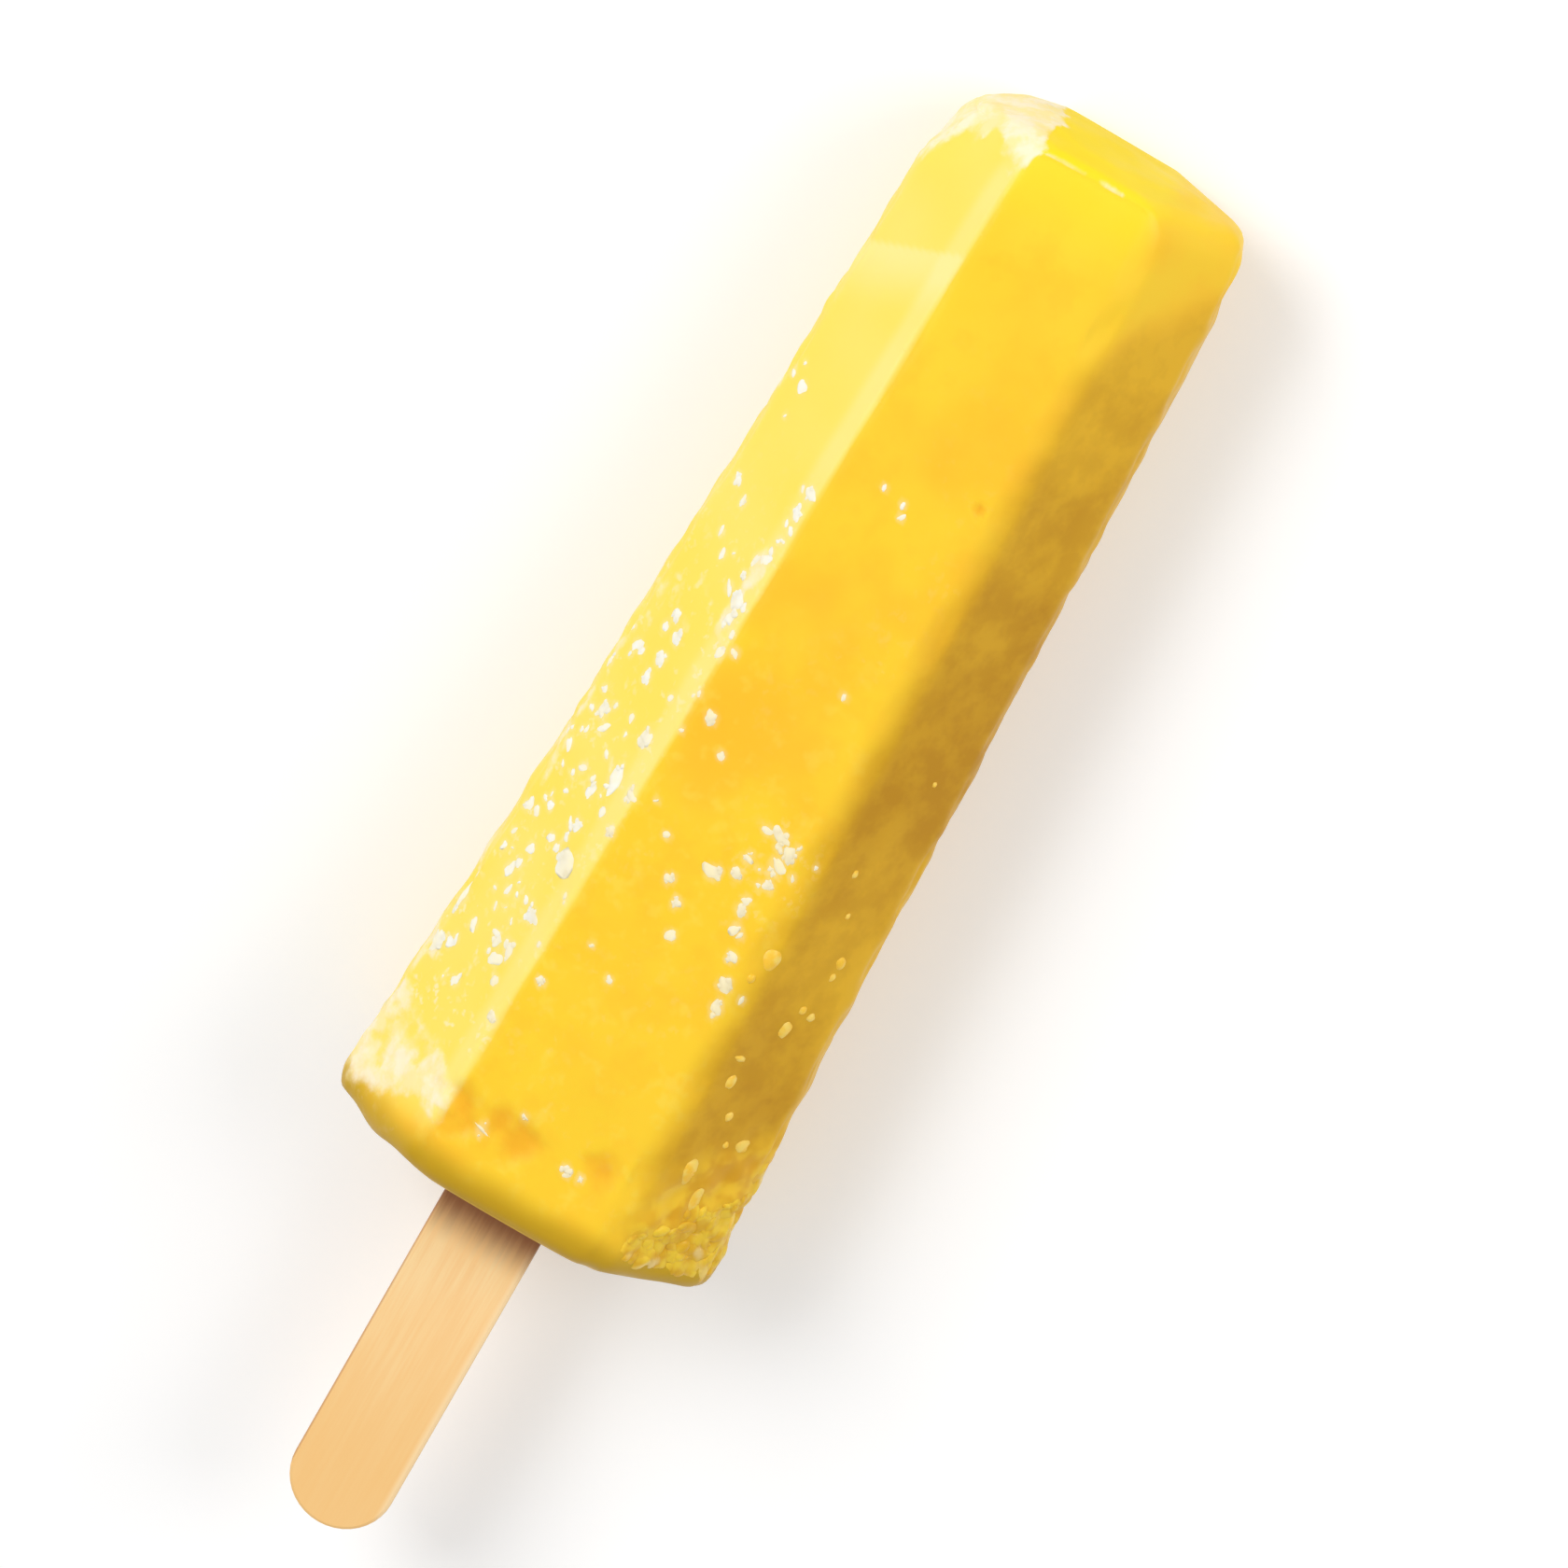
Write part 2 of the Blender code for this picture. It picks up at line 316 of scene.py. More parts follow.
# Pale flaws in the ice, in the half towards the mouth.
flawed = 1 - rise(behind + 6 * MM * cloud(places, 12 * MM, 29), 40 * MM, 75 * MM)

# Clear ice on the right, darkened as painted shade: it starts further from the tip near the front facet,
# and is cloudy.
clear_shade_from = 12.5 * MM - 0.8 * np.clip(right_of_edge, 0, 10 * MM)
clear = rise(from_tip - clear_shade_from + 1.2 * MM * cloud(places, 5 * MM, 9), -1.0 * MM, 5.5 * MM)
clear = clear * rise(right_of_edge + 0.6 * MM * cloud(places, 6 * MM, 10), -2.4 * MM, 3.0 * MM)
clear = clear * np.maximum(on_right_side, rise(outward[:, 2], -0.9, -0.4))
clear = clear * rise(behind + 1.0 * MM * cloud(places, 4 * MM, 22), 6.0 * MM, 13.0 * MM)

# How deep one sees into the clear ice, and how much painted shade darkens it: a distance behind the
# mouth in millimetres, and a share. The higher the share, the browner and darker, partly as painted
# shade.
depths = (
    (0, 0.3),
    (12, 0.4),
    (21, 0.55),
    (33, 0.2),
    (40, 0.5),
    (52, 0.9),
    (66, 0.7),
    (80, 0.45),
    (95, 0.0),
)
depth_shade_places, depth_shade_shares = np.array(depths).T
depth_and_shade = np.interp(behind, depth_shade_places * MM, depth_shade_shares)
depth_and_shade = depth_and_shade + 0.22 * cloud(places, 9 * MM, 23) + 0.14 * cloud(places, 3.5 * MM, 24)
depth_and_shade = np.clip(depth_and_shade - 0.6 * rise(right_of_edge, 10 * MM, 15 * MM), 0, 1)

# Brighter ice just behind the tip.
tip_glow = 1 - rise(from_tip + 0.8 * MM * cloud(places, 5 * MM, 21), 2.0 * MM, 9.0 * MM)
tip_glow = tip_glow * (1 - 0.9 * rise(right_of_edge, -2.0 * MM, 1.5 * MM))

# The tip's end face is the purest yellow, most of all on its left.
tip_face = rise(-outward[:, 0], 0.5, 0.98) * (1 - 0.65 * rise(across, -4 * MM, 8 * MM))

# Painted shade all round the mouth's rim, given as darker clear meltwater ice, and a milder painted
# shade on the mouth's face.
rim_shade = 1 - rise(behind + 0.35 * MM * cloud(places, 4 * MM, 19), 1.8 * MM, 4.4 * MM)
mouth_face = rise(outward[:, 0], 0.75, 0.98)

# Coarse, half melted crystals at the right corner of the mouth.
corner = np.array((-6.0 * MM, 17.0 * MM, 4.0 * MM))
crystals = 1 - rise(np.linalg.norm(places - corner, axis=1), 7 * MM, 13 * MM)
crystals = crystals * rise(behind, 1.5 * MM, 3.0 * MM)

# The relief: a drawn-in shoulder at the tip, a flared lip at the mouth and a fuller left side there.
SHOULDER_DEPTH = 0.9 * MM
SHOULDER_LENGTH = 9 * MM
LIP_FLARE = 0.4 * MM
LIP_LENGTH = 12 * MM
LEFT_SWELL = 0.75 * MM
LEFT_SWELL_LENGTH = 45 * MM
lift = -SHOULDER_DEPTH * np.clip(1 - from_tip / SHOULDER_LENGTH, 0, 1) ** 2 * sideways
lift += LIP_FLARE * np.clip(1 - behind / LIP_LENGTH, 0, 1) ** 2 * sideways
swollen_left = np.clip(1 - behind / LEFT_SWELL_LENGTH, 0, 1) * rise(-outward[:, 1], 0.3, 0.95)
lift += LEFT_SWELL * swollen_left

# The facets are a little wavy, the edges worn and the two outer sides dented. Frost and crystals are
# thick enough to show, and the left corner of the tip is rubbed off.
WAVE_HEIGHT = 0.10 * MM
EDGE_WEAR = 0.16 * MM
SIDE_DENTS = 0.22 * MM
FROST_THICKNESS = 0.07 * MM
FROST_UNEVENNESS = 0.06 * MM
CRYSTAL_HEIGHT = 0.32 * MM
TIP_CORNER_WEAR = 1.5 * MM
lift += WAVE_HEIGHT * cloud(places, 14 * MM, 11)
worn = on_edge * rise(from_tip, 1 * MM, 4 * MM)
lift += EDGE_WEAR * worn * (cloud(places, 4.0 * MM, 12) - 0.6)
lift += SIDE_DENTS * np.maximum(on_left_side, on_right_side) * (cloud(places, 3.2 * MM, 13) - 0.5)
lift += frost * (FROST_THICKNESS + FROST_UNEVENNESS * cloud(places, 1.2 * MM, 14))
lift += CRYSTAL_HEIGHT * crystals * (cloud(places, 2.0 * MM, 15) - 0.3)
tip_corner = np.array((-BAR_LENGTH, -TIP_WIDTH / 2, 2.0 * MM))
from_tip_corner = np.linalg.norm(places - tip_corner, axis=1)
lift -= TIP_CORNER_WEAR * (1 - rise(from_tip_corner, 1 * MM, 9 * MM))

# Four dents near the mouth and one small pit further up: distances behind the mouth and across, radius
# and depth, in millimetres.
dents = (
    (7.5, -8.0, 2.5, 0.60),
    (7.2, -2.4, 2.8, 0.40),
    (8.2, -4.6, 1.8, 0.20),
    (9.0, 5.7, 1.9, 0.30),
    (77.8, 5.2, 0.6, 0.25),
)
# This mask also paints the dents darker orange inside, partly as painted shade.
pitted_shade = np.zeros(len(places))
for dent_behind, dent_across, radius, dent_depth in dents:
    gap = np.hypot(behind - dent_behind * MM, across - dent_across * MM) / (radius * MM)
    gap = gap + 0.28 * cloud(places, 2.2 * MM, 16) + 0.15 * cloud(places, 0.9 * MM, 25)
    bowl = (1 - rise(gap, 0.1, 1.2)) * (outward[:, 2] > 0.5)
    lift -= bowl * dent_depth * MM
    pitted_shade = np.maximum(pitted_shade, bowl)

# The mouth bulges out in the middle, and again near its left corner. The back lies flat on the table, so
# nothing sticks out of it.
MIDDLE_BULGE = 0.6 * MM
LEFT_BULGE = 0.8 * MM
LEFT_BULGE_PLACE = 14.3 * MM  # left of the middle
moved = places + outward * lift[:, None]
arc = np.clip(1 - (across / (MOUTH_WIDTH / 2)) ** 2, 0, 1)
moved[:, 0] += MIDDLE_BULGE * arc * melted * (1 - rise(behind, 0.0, 7.0 * MM))
left_arc = np.exp(-(((across + LEFT_BULGE_PLACE) / (2.2 * MM)) ** 2))
left_arc = left_arc * (1 - rise(behind, 0.0, 6.0 * MM))
moved[:, 0] += LEFT_BULGE * left_arc * rise(outward[:, 2], -0.2, 0.3)
back_plane = -mixed(MOUTH_DEPTH, TIP_DEPTH, behind / BAR_LENGTH) / 2
moved[:, 2] = np.maximum(moved[:, 2], back_plane)
ice.data.vertices.foreach_set("co", moved.ravel())
ice.data.update()


def write_values(mesh, name, values):
    """Stores one number for each point, which a material can read."""
    attribute = mesh.attributes.new(name, "FLOAT", "POINT")
    attribute.data.foreach_set("value", values.astype(np.float32))


for name, values in {
    "frost": frost,
    "veil_and_highlight": veil_and_highlight,
    "speckled": speckled,
    "flawed": flawed,
    "pale": pale,
    "clear": clear,
    "depth_and_shade": depth_and_shade,
    "tip": tip_glow,
    "tip_face": tip_face,
    "rim_shade": rim_shade,
    "mouth_face": mouth_face,
    "pitted_shade": pitted_shade,
    "crystals": crystals,
}.items():
    write_values(ice.data, name, values)
ice.data.shade_smooth()


def linear(red, green, blue):
    """A colour given as it looks, from 0 to 255, as the light that a shader takes."""
    channels = []
    for value in (red, green, blue):
        share = value / 255
        channels.append(share / 12.92 if share <= 0.04045 else ((share + 0.055) / 1.055) ** 2.4)
    return (*channels, 1.0)


class Recipe:
    """A material's node tree, with short ways to add the nodes that the finishes here share."""

    def __init__(self, name):
        self.material = bpy.data.materials.new(name)
        self.material.use_nodes = True
        self.tree = self.material.node_tree
        self.surface = self.tree.nodes["Principled BSDF"]
        self.place = self.tree.nodes.new("ShaderNodeTexCoord").outputs["Object"]

    def link(self, source, target):
        """Gives a node's input its value: a plain one, or another node's output."""
        if isinstance(source, (int, float, tuple)):
            target.default_value = source
        else:
            self.tree.links.new(source, target)

    def set(self, name, source):
        """Gives one of the surface's inputs its value."""
        self.link(source, self.surface.inputs[name])

    def as_ice(self, depths, scale):
        """Ice: light goes some way into it, red, green and blue by these shares of the scale."""
        self.set("IOR", 1.31)
        self.set("Subsurface Weight", 0.15)
        self.set("Subsurface Radius", depths)
        self.set("Subsurface Scale", scale)

    def stretched(self, scale):
        """The object's own coordinates, scaled along each axis."""
        node = self.tree.nodes.new("ShaderNodeMapping")
        node.inputs["Scale"].default_value = scale
        self.link(self.place, node.inputs["Vector"])
        return node.outputs["Vector"]

    def noise(self, size, detail=2.0, roughness=0.5, place=None):
        """Soft noise from 0 to 1, with lumps of about this size."""
        node = self.tree.nodes.new("ShaderNodeTexNoise")
        node.inputs["Scale"].default_value = 1.0 / size
        node.inputs["Detail"].default_value = detail
        node.inputs["Roughness"].default_value = roughness
        self.link(place or self.place, node.inputs["Vector"])
        return node.outputs["Fac"]

    def dots(self, size, reach):
        """Ragged spots with soft edges, about this far apart, some of them missing. Reach is their
        radius as a share of that."""
        ragged = self.tree.nodes.new("ShaderNodeTexNoise")
        ragged.inputs["Scale"].default_value = 1.6 / size
        self.link(self.place, ragged.inputs["Vector"])
        shifted = self.tree.nodes.new("ShaderNodeVectorMath")
        shifted.operation = "MULTIPLY_ADD"
        self.link(ragged.outputs["Color"], shifted.inputs[0])
        shifted.inputs[1].default_value = (1.5 * size, 1.5 * size, 1.5 * size)
        self.link(self.place, shifted.inputs[2])
        node = self.tree.nodes.new("ShaderNodeTexVoronoi")
        node.inputs["Scale"].default_value = 1.0 / size
        self.link(shifted.outputs["Vector"], node.inputs["Vector"])
        kept = self.spread(node.outputs["Color"], 0.35, 0.60)
        return self.times(self.spread(node.outputs["Distance"], reach * 0.3, reach, 1.0, 0.0), kept)

    def value(self, name):
        """A number that write_values stored for each point."""
        node = self.tree.nodes.new("ShaderNodeAttribute")
        node.attribute_name = name
        return node.outputs["Fac"]

    def spread(self, source, low, high, new_low=0.0, new_high=1.0):
        """Maps one range of values onto another, and holds it at its ends."""
        node = self.tree.nodes.new("ShaderNodeMapRange")
        node.interpolation_type = "SMOOTHSTEP"
        self.link(source, node.inputs["Value"])
        node.inputs["From Min"].default_value = low
        node.inputs["From Max"].default_value = high
        node.inputs["To Min"].default_value = new_low
        node.inputs["To Max"].default_value = new_high
        return node.outputs["Result"]

    def sum(self, kind, first, second):
        """One sum of two values, such as ADD, MULTIPLY or MAXIMUM."""
        node = self.tree.nodes.new("ShaderNodeMath")
        node.operation = kind
        self.link(first, node.inputs[0])
        self.link(second, node.inputs[1])
        return node.outputs["Value"]

    def times(self, first, second):
        return self.sum("MULTIPLY", first, second)

    def blend(self, share, first, second):
        """Colours first and second, mixed by share."""
        node = self.tree.nodes.new("ShaderNodeMix")
        node.data_type = "RGBA"
        self.link(share, node.inputs["Factor"])
        for name, source in (("A", first), ("B", second)):
            sockets = [socket for socket in node.inputs if socket.name == name]
            self.link(source, next(socket for socket in sockets if socket.type == "RGBA"))
        return next(socket for socket in node.outputs if socket.type == "RGBA")

    def bump(self, height, strength, distance):
        """Makes the surface look as if it rose and fell by this distance."""
        node = self.tree.nodes.new("ShaderNodeBump")
        node.inputs["Strength"].default_value = strength
        node.inputs["Distance"].default_value = distance
        self.link(height, node.inputs["Height"])
        self.link(node.outputs["Normal"], self.surface.inputs["Normal"])


fruit_ice = Recipe("fruit_ice")
lemon = linear(255, 209, 48)
amber = linear(255, 196, 44)
bright = linear(255, 217, 52)
orange_pulp = linear(255, 190, 42)
pale_lemon = linear(255, 226, 92)
# The two clear ice colours below are darkened, as painted shade on the right facet.
light_clear_shaded = linear(233, 182, 36)
dark_clear_shaded = linear(196, 141, 20)
# The rim's and the mouth face's colours below are darkened, as painted shade.
rim_shade_colour = linear(204, 162, 26)
face_shade_colour = linear(244, 194, 44)
# A darker orange for inside the dents, partly painted shade.
pit_shade_orange = linear(246, 178, 36)
crystal_yellow = linear(248, 200, 52)
crystal_orange = linear(228, 168, 34)
# This white also paints a highlight along the crisp edge.
veil_highlight_white = linear(255, 240, 166)
frost_cream = linear(255, 234, 166)
frost_white = linear(255, 241, 208)
tip_lemon = linear(255, 220, 44)
tip_end_lemon = linear(255, 222, 30)

# Yellow pulp in soft patches, with paler flaws near the mouth.
patches = fruit_ice.spread(fruit_ice.noise(17 * MM, 3.0, 0.55), 0.40, 0.62)
colour = fruit_ice.blend(patches, lemon, amber)
glow = fruit_ice.spread(fruit_ice.noise(24 * MM, 2.0), 0.50, 0.68, 0.0, 0.6)
colour = fruit_ice.blend(glow, colour, bright)
pulp = fruit_ice.spread(fruit_ice.noise(5.0 * MM, 3.0, 0.6), 0.46, 0.68, 0.0, 0.30)
colour = fruit_ice.blend(pulp, colour, orange_pulp)
flaws = fruit_ice.spread(fruit_ice.noise(2.2 * MM, 2.0, 0.6), 0.52, 0.72, 0.0, 0.32)
colour = fruit_ice.blend(fruit_ice.times(flaws, fruit_ice.value("flawed")), colour, pale_lemon)
colour = fruit_ice.blend(fruit_ice.value("tip"), colour, tip_lemon)
colour = fruit_ice.blend(fruit_ice.value("tip_face"), colour, tip_end_lemon)
colour = fruit_ice.blend(fruit_ice.value("pale"), colour, pale_lemon)

# Clear ice, browner and darker where the share is higher, partly as painted shade, and then the crust,
# the mouth, the dents and the thin veil.
murk = fruit_ice.spread(fruit_ice.noise(3.0 * MM, 3.0, 0.6), 0.35, 0.65, -0.15, 0.15)
shade_and_brownness = fruit_ice.sum("ADD", fruit_ice.value("depth_and_shade"), murk)
clear_shaded_colour = fruit_ice.blend(shade_and_brownness, light_clear_shaded, dark_clear_shaded)
colour = fruit_ice.blend(fruit_ice.value("clear"), colour, clear_shaded_colour)
lumps = fruit_ice.spread(fruit_ice.noise(2.8 * MM, 2.0, 0.6), 0.40, 0.60)
crystal_colour = fruit_ice.blend(lumps, crystal_orange, crystal_yellow)
colour = fruit_ice.blend(fruit_ice.times(fruit_ice.value("crystals"), 0.85), colour, crystal_colour)
# The mouth's rim and face are darkened here: painted shade.
colour = fruit_ice.blend(fruit_ice.value("rim_shade"), colour, rim_shade_colour)
colour = fruit_ice.blend(fruit_ice.value("mouth_face"), colour, face_shade_colour)
colour = fruit_ice.blend(fruit_ice.times(fruit_ice.value("pitted_shade"), 0.85), colour, pit_shade_orange)
# The veil is frost, and along the crisp edge a painted highlight.
colour = fruit_ice.blend(fruit_ice.times(fruit_ice.value("veil_and_highlight"), 0.75), colour, veil_highlight_white)

# Fine rime: soft spots of two sizes, in the speckled places only.
presence = fruit_ice.spread(fruit_ice.noise(3.0 * MM, 2.0), 0.40, 0.60)
coarse_spots = fruit_ice.times(fruit_ice.dots(1.9 * MM, 0.42), presence)
fine_share = fruit_ice.spread(presence, 0.0, 1.0, 0.9, 0.3)
fine_spots = fruit_ice.times(fruit_ice.dots(1.0 * MM, 0.46), fine_share)
rime_spots = fruit_ice.sum("MAXIMUM", coarse_spots, fine_spots)
rime_share = fruit_ice.times(fruit_ice.times(rime_spots, fruit_ice.value("speckled")), 0.60)
colour = fruit_ice.blend(rime_share, colour, frost_white)

# Frost: its edge is broken up by the grain, and it stays a little see-through.
grain = fruit_ice.noise(1.6 * MM, 3.0, 0.6)
broken = fruit_ice.spread(grain, 0.30, 0.70, -0.20, 0.20)
broken = fruit_ice.sum("ADD", fruit_ice.value("frost"), broken)
thick = fruit_ice.spread(broken, 0.0, 1.0, 0.0, 0.94)
thick = fruit_ice.times(thick, fruit_ice.spread(fruit_ice.value("frost"), 0.0, 0.35))
frost_tone = fruit_ice.spread(fruit_ice.noise(2.4 * MM, 3.0, 0.6), 0.38, 0.62)
frost_colour = fruit_ice.blend(frost_tone, frost_cream, frost_white)
colour = fruit_ice.blend(thick, colour, frost_colour)

# Frost and the tip's face are duller than the wet ice. The colour is given to the surface further down,
# when the halos round the flecks are known.
dullness = fruit_ice.spread(fruit_ice.noise(6 * MM, 2.0), 0.35, 0.65, 0.34, 0.50)
dullness = fruit_ice.sum("ADD", dullness, fruit_ice.times(thick, 0.30))
dullness = fruit_ice.sum("ADD", dullness, fruit_ice.times(fruit_ice.value("tip_face"), 0.25))
fruit_ice.set("Roughness", dullness)
fruit_ice.as_ice((1.0, 0.6, 0.25), 2.0 * MM)
ripples = fruit_ice.times(fruit_ice.noise(3.5 * MM, 2.0), 0.5)
frosty = fruit_ice.times(fruit_ice.times(grain, thick), 0.8)
fruit_ice.bump(fruit_ice.sum("ADD", ripples, frosty), 0.35, 0.25 * MM)
ice.data.materials.clear()
ice.data.materials.append(fruit_ice.material)

# The finished bar stays in its own frame until the flecks that lie on it have found their places.

# ---------------------------------------------------------------------------------- flecks of frost
# Crumbs of dry frost, 0.3 to 3 mm long and less than 0.1 mm high, frozen onto the surface where the bar
# touched its wrapper. Most are on the left facet, towards the mouth, and some in a cluster on the front.

FLECK_HEIGHT = 0.055 * MM
HALO_STRENGTH = 0.32
HALO_WIDTH = 0.35 * MM


def on_facet(side, behind_mouth, from_edge):
    """A spot on the bar: side is "left", "front" or "right". From_edge is measured down a slant from the
    front facet's edge, or across the front facet from its middle. Gives its place and the direction
    outward."""
    half_depth = mixed(MOUTH_DEPTH, TIP_DEPTH, behind_mouth / BAR_LENGTH) / 2
    if side == "front":
        guess = Vector((-behind_mouth, from_edge, half_depth))
    else:
        sign = 1.0 if side == "right" else -1.0
        down = from_edge / math.sqrt(2)
        guess = Vector((-behind_mouth, sign * (half_front(behind_mouth) + down), half_depth - down))
    return ice.closest_point_on_mesh(guess)[1:3]


bpy.ops.mesh.primitive_ico_sphere_add(subdivisions=3, radius=1.0)
ball = bpy.context.active_object
ball_points = [vert.co.copy() for vert in ball.data.vertices]
ball_faces = [tuple(face.vertices) for face in ball.data.polygons]
bpy.data.objects.remove(ball)


def scatter(name, spots, material, seed, uneven=0.6, sunk=0.75):
    """One joined piece of small lumps, of which only the uneven tops stand out of the bar. Each spot is
    a place, a direction out of the surface, a length, a width, a height and a turn on the surface. Sunk
    is how deep the lumps lie: half of each stands out at 0, and nothing at 1."""
    showing = math.sqrt(1 - sunk**2)  # a lump's width at the surface, as a share of its whole width
    chance = random.Random(seed)
    points = []
    faces = []
    for place, normal, length, width, height, spin in spots:
        along = (Vector((-1.0, 0.0, 0.0)) + normal * normal.x).normalized()
        side = normal.cross(along)
        ahead = along * math.cos(spin) + side * math.sin(spin)
        beside = side * math.cos(spin) - along * math.sin(spin)
        shift = Vector([chance.uniform(-50, 50) for axis in range(3)])
        start = len(points)
        for point in ball_points:
            swollen = point * (1 + uneven * noise.noise(point * 1.3 + shift)) / showing / 2
            level = height * (point.z - sunk) / (1 - sunk)
            flat = place + ahead * swollen.x * length + beside * swollen.y * width
            foot, upwards = ice.closest_point_on_mesh(flat)[1:3]
            points.append(foot + upwards * level)
        faces += [tuple(start + index for index in face) for face in ball_faces]
    mesh = bpy.data.meshes.new(name)
    mesh.from_pydata(points, [], faces)
    mesh.materials.append(material)
    mesh.shade_smooth()
    piece = bpy.data.objects.new(name, mesh)
    bpy.context.scene.collection.objects.link(piece)
    return piece


# The largest ones: side, distances behind the mouth and from the edge, length and width in millimetres,
# and turn in degrees.
large_flecks = (
    ("left", 40.0, 3.4, 3.1, 1.2, 0),
    ("left", 31.0, 3.2, 2.2, 1.8, 10),
    ("left", 44.8, 2.8, 1.6, 1.5, 40),
    ("left", 25.3, 3.5, 1.3, 1.1, 60),
    ("left", 21.4, 3.6, 1.9, 0.9, 20),
    ("left", 43.5, 9.3, 1.7, 1.2, 10),
    ("left", 50.8, 6.4, 1.9, 1.0, 25),
    ("left", 48.8, 6.7, 1.4, 1.0, 0),
    ("left", 53.3, 6.1, 1.3, 1.1, 20),
    ("left", 54.8, 7.5, 1.3, 1.0, -30),
    ("left", 59.6, 2.0, 1.9, 1.3, 10),
    ("left", 58.0, 1.7, 1.5, 1.2, 0),
    ("left", 40.0, 0.8, 1.5, 0.9, 60),
    ("left", 34.4, 4.4, 1.1, 1.0, 0),
    ("left", 36.3, 0.6, 0.9, 0.8, 0),
    ("left", 67.7, 9.9, 1.2, 0.9, -20),
    ("left", 66.7, 7.9, 1.0, 0.6, 20),
    ("left", 71.4, 1.0, 1.5, 0.9, 70),
    ("left", 69.2, 1.3, 1.6, 1.1, 30),
    ("left", 17.1, 12.0, 2.0, 1.4, 0),
    ("left", 21.6, 12.2, 2.8, 1.2, 0),
    ("left", 15.9, 1.1, 1.1, 0.9, 50),
    ("front", 37.7, 0.8, 1.9, 1.1, 65),
    ("front", 38.8, 2.6, 1.3, 0.8, 60),
    ("front", 40.4, 2.8, 1.4, 0.5, 70),
    ("front", 43.6, 4.4, 1.8, 0.9, 50),
    ("front", 42.6, 5.8, 1.4, 1.0, 30),
    ("front", 41.3, 5.3, 2.2, 1.0, 50),
    ("front", 39.2, 5.5, 0.9, 0.9, 0),
    ("front", 36.1, 4.5, 1.1, 0.8, 20),
    ("front", 31.9, 5.9, 1.2, 0.8, 40),
    ("front", 35.3, -2.3, 0.9, 0.8, 0),
    ("front", 33.8, -0.7, 1.1, 0.7, 20),
    ("front", 49.9, -6.1, 1.2, 0.9, 0),
    ("front", 29.3, 6.6, 1.4, 1.0, 30),
    ("front", 27.1, 7.0, 1.6, 0.8, 20),
    ("front", 21.3, -7.7, 0.8, 0.8, 0),
    ("front", 6.7, -5.7, 1.6, 0.35, 75),
    ("front", 7.3, 2.8, 0.6, 1.1, 10),
    ("front", 7.3, 4.1, 0.7, 0.4, 40),
    ("front", 9.7, -2.9, 0.7, 0.3, 60),
)

# Clusters of small ones: side, distances of the middle behind the mouth and from the edge, spread along
# and across in millimetres, and how many.
fleck_clusters = (
    ("left", 46.5, 11.0, 3.0, 1.2, 12),
    ("left", 30.0, 10.5, 3.5, 1.4, 12),
    ("left", 62.0, 1.8, 4.0, 0.8, 10),
    ("left", 56.0, 1.0, 3.0, 0.7, 5),
    ("left", 34.0, 7.0, 5.0, 2.2, 14),
    ("left", 25.0, 7.0, 6.0, 2.6, 15),
    ("left", 18.0, 6.0, 4.0, 2.4, 9),
    ("left", 50.0, 6.0, 7.0, 3.0, 9),
    ("left", 40.0, 6.0, 6.0, 3.0, 9),
    ("left", 66.0, 6.0, 6.0, 3.0, 5),
    ("left", 78.0, 8.0, 5.0, 2.5, 4),
    ("front", 40.5, 4.6, 2.6, 1.8, 8),
    ("front", 33.0, 6.5, 3.0, 1.4, 3),
    ("front", 52.0, 1.0, 12.0, 5.0, 4),
    ("front", 25.0, -4.0, 6.0, 4.0, 3),
    ("front", 70.0, -4.0, 6.0, 2.0, 2),
)

# Each large one has three crumbs round it.
chance = random.Random(31)
spots = []
for side, behind_mm, edge_mm, length, width, degrees in large_flecks:
    place, normal = on_facet(side, behind_mm * MM, edge_mm * MM)
    spots.append((place, normal, length * MM, width * MM, FLECK_HEIGHT * 1.2, math.radians(degrees)))
    for crumb in range(3):
        angle = chance.uniform(0, 2 * math.pi)
        crumb_place, crumb_normal = on_facet(
            side,
            (behind_mm + 0.42 * length * math.cos(angle)) * MM,
            (edge_mm + 0.42 * width * math.sin(angle)) * MM,
        )
        crumb_size = width * chance.uniform(0.4, 0.75) * MM
        spots.append((crumb_place, crumb_normal, crumb_size, crumb_size * 0.8, FLECK_HEIGHT, angle))
for side, behind_mm, edge_mm, spread_along, spread_across, count in fleck_clusters:
    for index in range(count):
        place, normal = on_facet(
            side,
            chance.gauss(behind_mm, spread_along) * MM,
            chance.gauss(edge_mm, spread_across) * MM,
        )
        length = chance.uniform(0.3, 0.8) * MM + chance.random() ** 3 * 1.0 * MM
        width = length * chance.uniform(0.4, 0.9)
        spin = chance.gauss(0.0, 0.7)
        spots.append((place, normal, length, width, FLECK_HEIGHT * chance.uniform(0.5, 0.9), spin))

# A thin halo of rime lies on the bar round each fleck.
bar_places = points_of(ice.data)[0]
halo = np.zeros(len(bar_places))
for place, normal, length, width, height, spin in spots:
    distance = np.linalg.norm(bar_places - np.array(place), axis=1)
    size = (length + width) / 4
    halo = np.maximum(halo, 1 - rise(distance, 0.5 * size, size + HALO_WIDTH))
write_values(ice.data, "halo", halo)
halo_share = fruit_ice.times(fruit_ice.value("halo"), HALO_STRENGTH)
fruit_ice.set("Base Color", fruit_ice.blend(halo_share, colour, frost_white))

